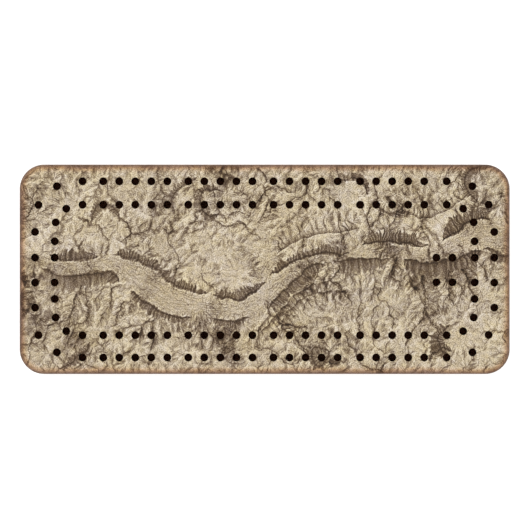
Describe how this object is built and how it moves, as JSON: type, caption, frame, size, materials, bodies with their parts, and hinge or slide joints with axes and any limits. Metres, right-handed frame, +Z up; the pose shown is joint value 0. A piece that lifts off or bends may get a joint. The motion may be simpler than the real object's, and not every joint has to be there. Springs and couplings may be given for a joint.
{
  "type": "cribbage board",
  "caption": "Small wooden cribbage board with a printed relief-map face, two peg tracks, start holes, rubber feet and a peg store closed by a swivel plate.",
  "frame": {"origin": "centre of the board's footprint on the table, in the plane of the feet's bottom faces", "axes": "+X along the board towards the start holes, +Y across the board, +Z up through the playing face"},
  "size_m": [0.194, 0.0828, 0.0238],
  "materials": {
    "stained_wood": "satin, dark stained edges",
    "map_paper": "matt sealed print",
    "foot_rubber": "matt",
    "cover_brass": "brushed",
    "washer_steel": "turned",
    "screw_brass": "satin",
    "peg_brass": "turned and polished",
    "peg_steel": "turned and polished"
  },
  "bodies": {
    "board": {"board_body": "stained_wood", "map_print": "map_paper", "foot_front_left": "foot_rubber", "foot_back_left": "foot_rubber", "foot_front_right": "foot_rubber", "foot_back_right": "foot_rubber", "pivot_screw": "screw_brass", "pivot_washer": "washer_steel", "stop_screw": "screw_brass"},
    "cover": {"storage_cover": "cover_brass"},
    "brass_peg_1": {"peg_brass_1": "peg_brass"},
    "steel_peg_1": {"peg_steel_1": "peg_steel"},
    "brass_peg_2": {"peg_brass_2": "peg_brass"},
    "steel_peg_2": {"peg_steel_2": "peg_steel"}
  },
  "joints": [
    {"name": "cover_swivel", "type": "hinge", "parent": "board", "child": "cover", "pos_m": [0.022, 0, 0.0032], "axis": [0, 0, 1], "range_deg": [-180, 136]},
    {"name": "brass_peg_1_lift", "type": "slide", "parent": "board", "child": "brass_peg_1", "axis": [0, 0, -1], "range_m": [0, 0.03]},
    {"name": "steel_peg_1_lift", "type": "slide", "parent": "board", "child": "steel_peg_1", "axis": [0, 0, -1], "range_m": [0, 0.03]},
    {"name": "brass_peg_2_lift", "type": "slide", "parent": "board", "child": "brass_peg_2", "axis": [0, 0, -1], "range_m": [0, 0.03]},
    {"name": "steel_peg_2_lift", "type": "slide", "parent": "board", "child": "steel_peg_2", "axis": [0, 0, -1], "range_m": [0, 0.03]}
  ]
}
